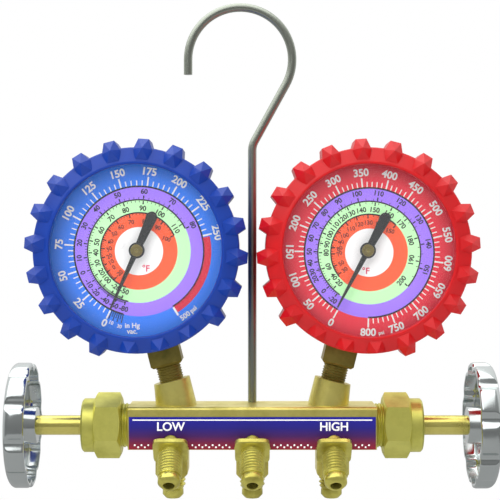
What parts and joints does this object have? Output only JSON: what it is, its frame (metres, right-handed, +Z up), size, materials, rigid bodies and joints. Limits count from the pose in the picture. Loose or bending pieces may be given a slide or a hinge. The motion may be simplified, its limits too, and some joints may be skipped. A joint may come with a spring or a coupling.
{
  "type": "refrigerant manifold gauge",
  "caption": "Brass manifold bar with two hand valves, hose fittings below, two tilted dial gauges in toothed rubber boots and a swivelling wire hook.",
  "frame": {"origin": "where the inner side of the hook's loop crosses the middle plane, the point the set hangs from", "axes": "+X along the bar to the high-pressure side, +Y to the back, +Z up; dials face -Y"},
  "size_m": [0.211, 0.0558, 0.2201],
  "materials": {
    "brass": "fine machined, satin",
    "brass_aged": "darker plain brass",
    "label_print": "printed film, blue to red",
    "steel": "plain steel",
    "hook_wire": "zinc-plated wire",
    "seal": "black nitrile",
    "packing": "white sealing plastic",
    "case_steel": "black painted steel",
    "lens": "clear flat window",
    "chrome": "bright chrome plate",
    "pointer_paint": "black paint",
    "rubber_blue": "glossy blue moulded rubber",
    "rubber_red": "glossy red moulded rubber",
    "dial_blue": "printed dial with coloured rings",
    "dial_red": "printed dial with coloured rings"
  },
  "bodies": {
    "manifold": {"manifold_body": "brass", "manifold_label": "label_print", "hook_set_screw": "steel", "hose_port_low": "brass", "hose_anchor_low": "brass", "hose_port_center": "brass", "hose_anchor_center": "brass", "hose_port_high": "brass", "hose_anchor_high": "brass", "low_bonnet": "brass", "low_bonnet_seal": "seal", "low_stem_packing": "packing", "low_boot": "rubber_blue", "low_case": "case_steel", "low_lens": "lens", "low_bezel": "case_steel", "low_dial": "dial_blue", "low_dial_screws": "steel", "low_socket": "brass_aged", "low_case_screws": "steel", "low_bourdon_tube": "brass_aged", "low_movement_frame": "brass", "low_hairspring": "brass_aged", "high_bonnet": "brass", "high_bonnet_seal": "seal", "high_stem_packing": "packing", "high_boot": "rubber_red", "high_case": "case_steel", "high_lens": "lens", "high_bezel": "case_steel", "high_dial": "dial_red", "high_dial_screws": "steel", "high_socket": "brass_aged", "high_case_screws": "steel", "high_bourdon_tube": "brass_aged", "high_movement_frame": "brass", "high_hairspring": "brass_aged"},
    "hook": {"hanger_hook": "hook_wire"},
    "low_piston": {"low_piston": "brass", "low_piston_seal": "seal", "low_seat_disc": "packing"},
    "low_spindle": {"low_valve_spindle": "brass", "low_handwheel": "chrome", "low_handwheel_screw": "steel"},
    "low_pointer": {"low_pointer": "pointer_paint", "low_pinion_arbor": "brass"},
    "low_sector": {"low_sector_gear": "brass"},
    "low_link": {"low_sector_link": "brass"},
    "high_piston": {"high_piston": "brass", "high_piston_seal": "seal", "high_seat_disc": "packing"},
    "high_spindle": {"high_valve_spindle": "brass", "high_handwheel": "chrome", "high_handwheel_screw": "steel"},
    "high_pointer": {"high_pointer": "pointer_paint", "high_pinion_arbor": "brass"},
    "high_sector": {"high_sector_gear": "brass"},
    "high_link": {"high_sector_link": "brass"}
  },
  "joints": [
    {"name": "hook_swivel", "type": "hinge", "parent": "manifold", "child": "hook", "pos_m": [0, 0, -0.1732], "axis": [0, 0, 1], "continuous": true},
    {"name": "low_valve_lift", "type": "slide", "parent": "manifold", "child": "low_piston", "axis": [-1, 0, 0], "range_m": [0, 0.00385]},
    {"name": "low_handwheel_turn", "type": "hinge", "parent": "low_piston", "child": "low_spindle", "pos_m": [-0.095, -0.008, -0.1825], "axis": [-1, 0, 0], "range_deg": [0, 1080]},
    {"name": "low_pointer_sweep", "type": "hinge", "parent": "manifold", "child": "low_pointer", "pos_m": [-0.0497, -0.008, -0.1057], "axis": [0, 1, 0], "range_deg": [-12, 303], "stiffness_Nm_per_rad": 0.001},
    {"name": "low_sector_swing", "type": "hinge", "parent": "manifold", "child": "low_sector", "pos_m": [-0.03886, -0.008, -0.11607], "axis": [0, 1, 0], "range_deg": [-26.55, 1.24]},
    {"name": "low_link_swing", "type": "hinge", "parent": "low_sector", "child": "low_link", "pos_m": [-0.03509, -0.008, -0.12197], "axis": [0, 1, 0], "range_deg": [-1.24, 26.55]},
    {"name": "high_valve_lift", "type": "slide", "parent": "manifold", "child": "high_piston", "axis": [1, 0, 0], "range_m": [0, 0.00385]},
    {"name": "high_handwheel_turn", "type": "hinge", "parent": "high_piston", "child": "high_spindle", "pos_m": [0.095, -0.008, -0.1825], "axis": [1, 0, 0], "range_deg": [0, 1080]},
    {"name": "high_pointer_sweep", "type": "hinge", "parent": "manifold", "child": "high_pointer", "pos_m": [0.0497, -0.008, -0.1057], "axis": [0, 1, 0], "range_deg": [0, 332], "stiffness_Nm_per_rad": 0.001},
    {"name": "high_sector_swing", "type": "hinge", "parent": "manifold", "child": "high_sector", "pos_m": [0.05436, -0.008, -0.11996], "axis": [0, 1, 0], "range_deg": [-29.07, 0.2]},
    {"name": "high_link_swing", "type": "hinge", "parent": "high_sector", "child": "high_link", "pos_m": [0.05491, -0.008, -0.12694], "axis": [0, 1, 0], "range_deg": [-0.2, 29.07]}
  ],
  "couplings": [
    {"joint": "low_valve_lift", "follows": "low_handwheel_turn", "m_per_rad": 0.00020213},
    {"joint": "low_sector_swing", "follows": "low_pointer_sweep", "ratio": -0.086957},
    {"joint": "low_link_swing", "follows": "low_pointer_sweep", "ratio": 0.086957},
    {"joint": "high_valve_lift", "follows": "high_handwheel_turn", "m_per_rad": 0.00020213},
    {"joint": "high_sector_swing", "follows": "high_pointer_sweep", "ratio": -0.086957},
    {"joint": "high_link_swing", "follows": "high_pointer_sweep", "ratio": 0.086957}
  ]
}
